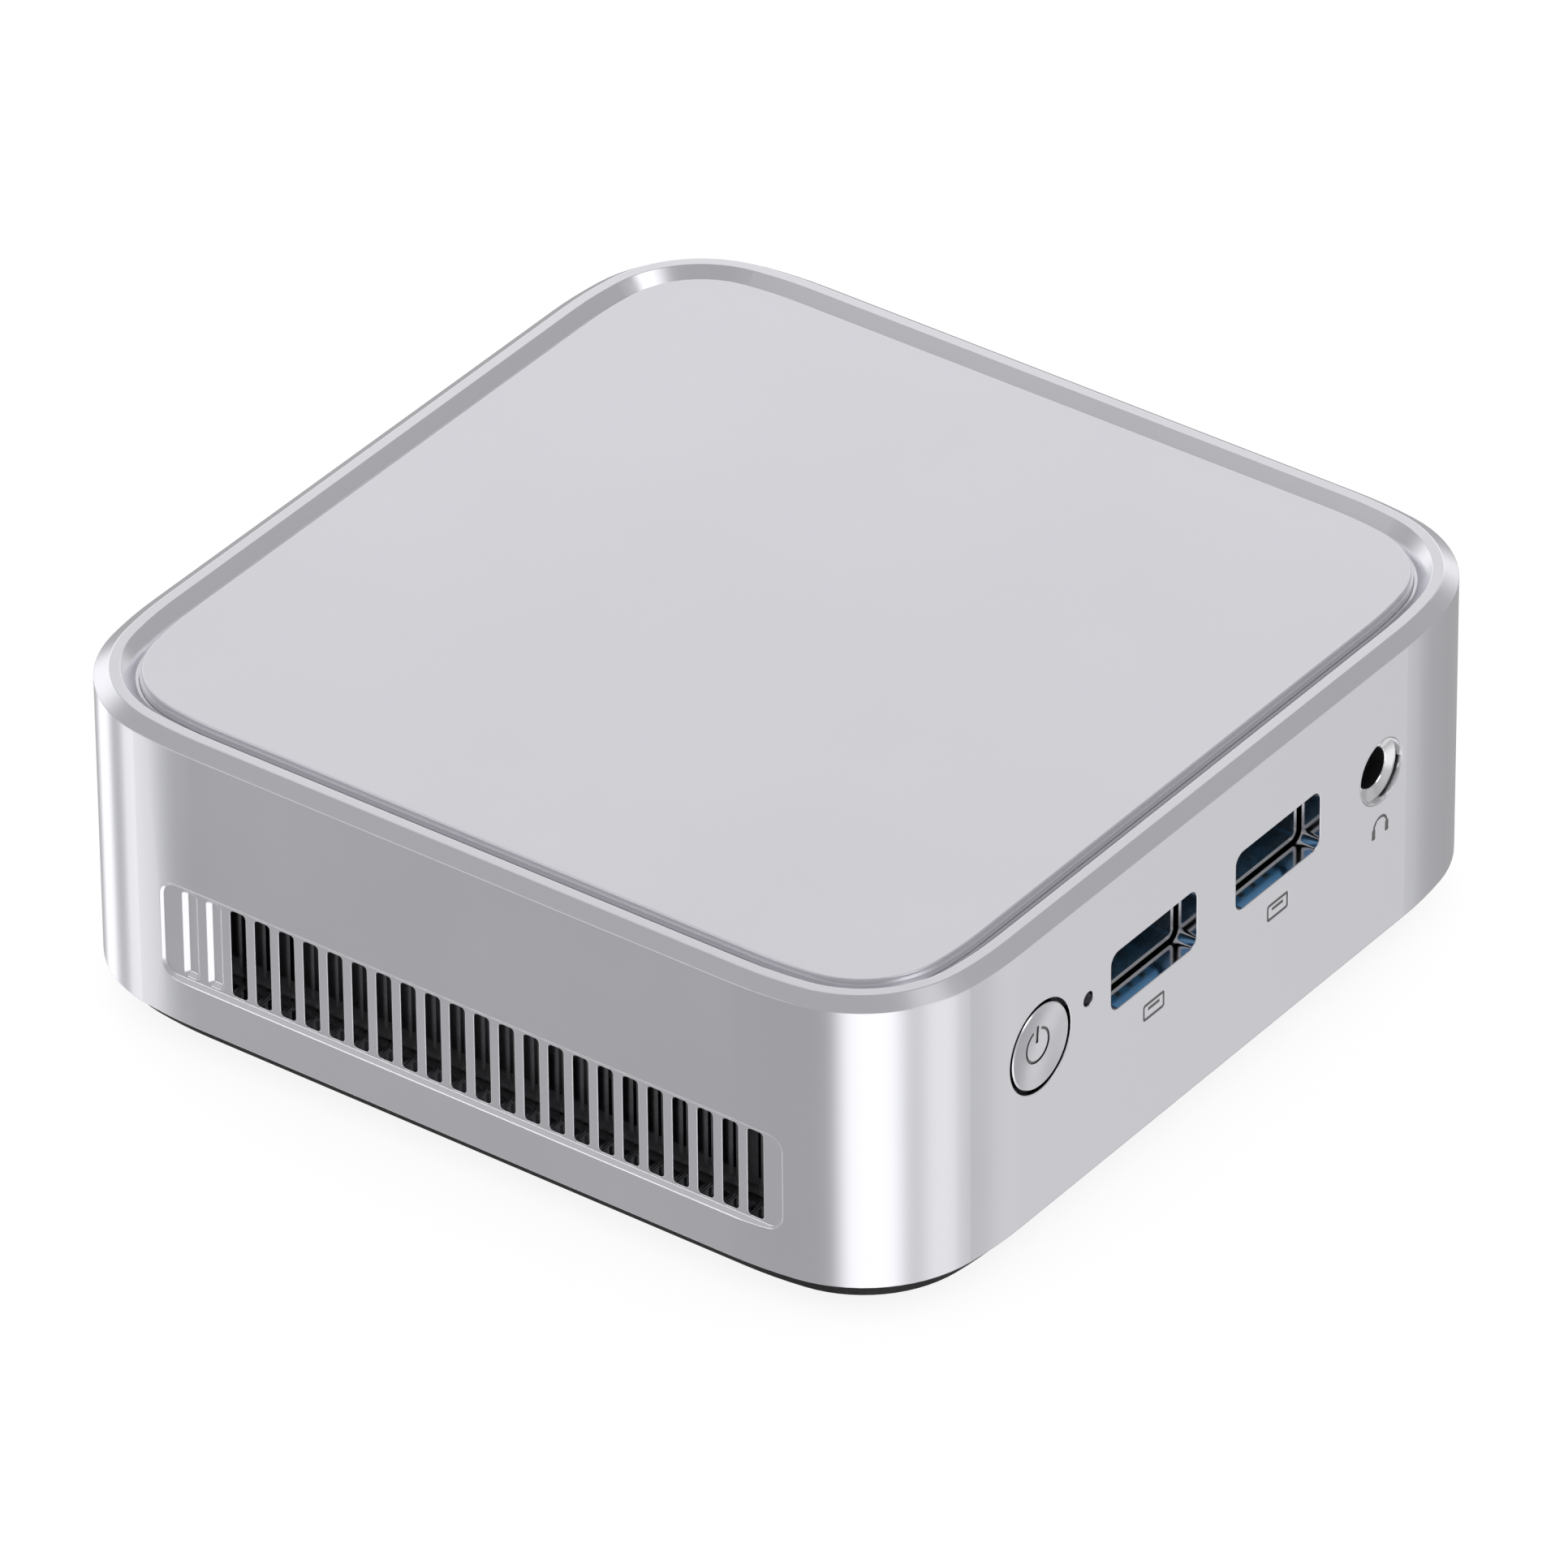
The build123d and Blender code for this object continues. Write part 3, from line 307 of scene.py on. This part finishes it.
def satin_aluminium(name, tint, rough, print_and_shade=None, cuts=None, worn_edge=0.0):
    """Bead-blasted, anodised aluminium: fine grain, and a faint cloudiness in its finish.

    The painting function gives where it is painted dark: printed signs, and painted shade on the
    button cap's side. cuts gives where a milling cutter left it bright and smooth.
    """
    shader = Shader(name, Metallic=1.0)
    cloud = shader.noise(CLOUD_SCALE, 3.0, 0.55)
    grain = shader.noise(BLASTED_SCALE, 2.0, 0.6)
    metal = shader.mix_colour(shader.remap(cloud, 0.0, 1.0, 0.3, 0.7), shade(tint, 0.975), tint)
    # dark paint for printed signs, and painted shade on the button cap's side
    if print_and_shade:
        metal = shader.mix_colour(print_and_shade(shader), metal, PRINT_AND_SHADE_PAINT)
    shader.colour(metal)
    level = shader.math("ADD", shader.remap(cloud, -0.012, 0.012, 0.3, 0.7),
                        shader.remap(grain, rough - 0.005, rough + 0.005, 0.25, 0.75))
    if cuts:
        level = shader.math("MULTIPLY", level, shader.remap(cuts(shader), 1.0, CUT_SMOOTHNESS))
    shader.roughness(level)
    shader.bump(grain, 0.02, BLASTED_DEPTH, worn_edge)
    return shader


def moulded_plastic(name, colour, rough, grain_scale=2600.0, depth=0.03 * MM, gloss=0.5):
    """Spark-eroded moulding texture, with slightly shinier high spots."""
    shader = Shader(name, Specular_IOR_Level=gloss)
    grain = shader.noise(grain_scale, 3.0, 0.6)
    high_spots = shader.remap(grain, 0.0, 1.0, 0.35, 0.7)
    shader.colour(shader.mix_colour(high_spots, colour, shade(colour, 1.35, 0.004)))
    shader.roughness(shader.remap(grain, rough + 0.08, rough - 0.06, 0.3, 0.7))
    shader.bump(grain, 0.35, depth)
    return shader


def polished_metal(name, tint, rough):
    """Bright metal, with the faint smears that polishing and handling leave."""
    shader = Shader(name, Metallic=1.0)
    smear = shader.noise(SMEAR_SCALE, 3.0, 0.6)
    shader.colour(shader.mix_colour(smear, shade(tint, 0.94), tint))
    shader.roughness(shader.remap(smear, rough * 0.8, rough * 1.3, 0.3, 0.7))
    return shader


def rolled_metal(name, tint, rough):
    """Sheet or turned metal with fine directional lines."""
    shader = Shader(name, Metallic=1.0)
    stretch = shader.node("ShaderNodeMapping")
    stretch.inputs["Scale"].default_value = LINE_STRETCH
    shader.link(shader.place(), stretch.inputs["Vector"])
    lines = shader.noise(LINE_SCALE, 2.0, 0.6, stretch.outputs["Vector"])
    shader.colour(shader.mix_colour(lines, shade(tint, 0.86), tint))
    shader.roughness(shader.remap(lines, rough - 0.05, rough + 0.08, 0.3, 0.7))
    shader.bump(lines, 0.12, LINE_DEPTH)
    return shader


ANODISED = (0.80, 0.80, 0.83)
FLAT_BLACK = (0.01, 0.01, 0.011)
FINISHES = {  # slot: (how it is made, its colour, its roughness, anything more)
    "shell_aluminium": (satin_aluminium, ANODISED, 0.22,
                        dict(print_and_shade=face_marks, cuts=cut_walls, worn_edge=0.12 * MM)),
    "plate_aluminium": (satin_aluminium, (0.80, 0.79, 0.825), 0.3, {}),
    # the button cap's side is painted dark as painted shade, beside its printed symbol
    "button_aluminium": (satin_aluminium, ANODISED, 0.24, dict(print_and_shade=button_symbol_and_painted_shade)),
    "cover_plastic": (moulded_plastic, FLAT_BLACK, 0.45, dict(gloss=0.25)),
    "grille_plastic": (moulded_plastic, (0.15, 0.15, 0.153), 0.35, {}),
    "black_plastic": (moulded_plastic, FLAT_BLACK, 0.4, dict(gloss=0.25)),
    "usb_blue": (moulded_plastic, (0.06, 0.22, 0.42), 0.3, {}),
    "light_pipe": (moulded_plastic, (0.05, 0.05, 0.055), 0.15,
                   dict(grain_scale=900.0, depth=0.005 * MM)),
    "polished_steel": (polished_metal, (0.86, 0.86, 0.87), 0.1, {}),
    "socket_steel": (polished_metal, (0.56, 0.57, 0.58), 0.25, {}),
    "screw_steel": (rolled_metal, (0.62, 0.62, 0.63), 0.3, {}),
    "screw_black": (rolled_metal, (0.06, 0.06, 0.065), 0.34, {}),
    "contact_gold": (polished_metal, (0.95, 0.70, 0.33), 0.18, {}),
    "brass": (rolled_metal, (0.80, 0.62, 0.30), 0.26, {}),
    "copper": (rolled_metal, (0.85, 0.45, 0.30), 0.3, {}),
    "circuit_board": (moulded_plastic, (0.008, 0.05, 0.025), 0.3,
                      dict(grain_scale=700.0, depth=0.01 * MM)),
    "chip_black": (moulded_plastic, (0.02, 0.02, 0.022), 0.45, {}),
    "heatsink_aluminium": (rolled_metal, (0.70, 0.70, 0.72), 0.32, {}),
    "lead_black": (moulded_plastic, (0.015, 0.015, 0.016), 0.4,
                   dict(grain_scale=1500.0, depth=0.02 * MM)),
    "rubber_foot": (moulded_plastic, (0.02, 0.02, 0.02), 0.6,
                    dict(grain_scale=1800.0, depth=0.05 * MM)),
}


def dress_nodes():
    shaders = {slot: make(slot, colour, rough, **more)
               for slot, (make, colour, rough, more) in FINISHES.items()}
    slots = {part["node"]: part["material_slot"] for part in frame["record"]["subparts"]}
    for name, node in frame["nodes"].items():
        node.data.materials.clear()
        node.data.materials.append(shaders[slots[name]].material)


# ---------- studio ----------
def make_floor():
    """A plain pale floor, just under the feet."""
    low = cad_box[0].z
    corners = [(-FLOOR_SIZE, -FLOOR_SIZE), (FLOOR_SIZE, -FLOOR_SIZE),
               (FLOOR_SIZE, FLOOR_SIZE), (-FLOOR_SIZE, FLOOR_SIZE)]
    mesh = bpy.data.meshes.new("floor")
    mesh.from_pydata([(x, y, low - FLOOR_DROP) for x, y in corners], [], [(0, 1, 2, 3)])
    floor = bpy.data.objects.new("floor", mesh)
    scene.collection.objects.link(floor)
    shader = Shader("floor_white", Base_Color=FLOOR_COLOUR, Roughness=FLOOR_ROUGHNESS,
                    Emission_Color=WHITE, Emission_Strength=FLOOR_GLOW)
    mesh.materials.append(shader.material)
    floor.visible_glossy = False
    floor.visible_shadow = False


def make_world():
    """A soft studio: a smooth light sky, and a ring of bright and dim strips round the object."""
    world = bpy.data.worlds.new("studio")
    scene.world = world
    world.use_nodes = True
    world.node_tree.nodes.clear()
    nodes = Nodes(world.node_tree)
    x, y, z = nodes.split(nodes.node("ShaderNodeTexCoord").outputs["Generated"])
    azimuth = nodes.math("MULTIPLY", nodes.math("ARCTAN2", y, x), 180 / math.pi)

    def strip(centre, full, gone):
        """1 within full degrees of an azimuth, falling to 0 at gone degrees."""
        away = nodes.math("WRAP", nodes.math("SUBTRACT", azimuth, centre), 180.0, -180.0)
        return nodes.soften(nodes.math("ABSOLUTE", away), full, gone)

    def soft_edge(half):
        return [share * half for share in SOFT_EDGE]

    strips = 0.0
    for centre, half, extra in RING_STRIPS:
        lit = nodes.math("MULTIPLY", strip(centre, *soft_edge(half)), extra)
        strips = nodes.math("ADD", lit, strips)
    low_share = nodes.math("MULTIPLY_ADD", nodes.soften(z, *STRIP_FADE),
                           1 - STRIP_SHARE, STRIP_SHARE)
    ring = nodes.math("ADD", nodes.math("MULTIPLY", strips, low_share), RING_BASE)

    sky_light = nodes.math("MULTIPLY", strip(SKY_LIGHT_AZIMUTH, *SKY_LIGHT_WIDTH),
                           nodes.remap(z, SKY_LIGHT_BRIGHTNESS, 0.0, *SKY_LIGHT_HEIGHT))
    mixed = nodes.node("ShaderNodeMix", data_type="FLOAT")
    nodes.link(nodes.soften(z, *HORIZON), mixed.inputs["Factor"])
    nodes.link(ring, mixed.inputs["A"])
    nodes.link(nodes.math("ADD", sky_light, SKY_BASE), mixed.inputs["B"])
    light = mixed.outputs["Result"]
    for centre, half, height, half_height, extra in PANELS:
        off = nodes.math("ABSOLUTE", nodes.math("SUBTRACT", z, height))
        lit = nodes.math("MULTIPLY", strip(centre, *soft_edge(half)),
                         nodes.soften(off, *soft_edge(half_height)))
        light = nodes.math("ADD", light, nodes.math("MULTIPLY", lit, extra))

    studio = nodes.node("ShaderNodeBackground")
    studio.inputs["Color"].default_value = STUDIO_TINT
    nodes.link(light, studio.inputs["Strength"])
    plain = nodes.node("ShaderNodeBackground")
    plain.inputs["Color"].default_value = WHITE
    mix = nodes.node("ShaderNodeMixShader")
    nodes.link(nodes.node("ShaderNodeLightPath").outputs["Is Camera Ray"], mix.inputs["Fac"])
    nodes.link(studio.outputs["Background"], mix.inputs[1])
    nodes.link(plain.outputs["Background"], mix.inputs[2])
    output = nodes.node("ShaderNodeOutputWorld")
    nodes.link(mix.outputs["Shader"], output.inputs["Surface"])


def make_overhead():
    """A large soft light straight above, for the floor and everything matt."""
    data = bpy.data.lights.new("overhead", "AREA")
    data.shape = "SQUARE"
    data.size = OVERHEAD_SIZE
    data.energy = OVERHEAD_POWER
    light = bpy.data.objects.new("overhead", data)
    light.location = (0.0, 0.0, OVERHEAD_HEIGHT)
    light.visible_camera = False
    light.visible_glossy = False
    scene.collection.objects.link(light)


make_camera()
dress_nodes()
make_floor()
make_world()
make_overhead()
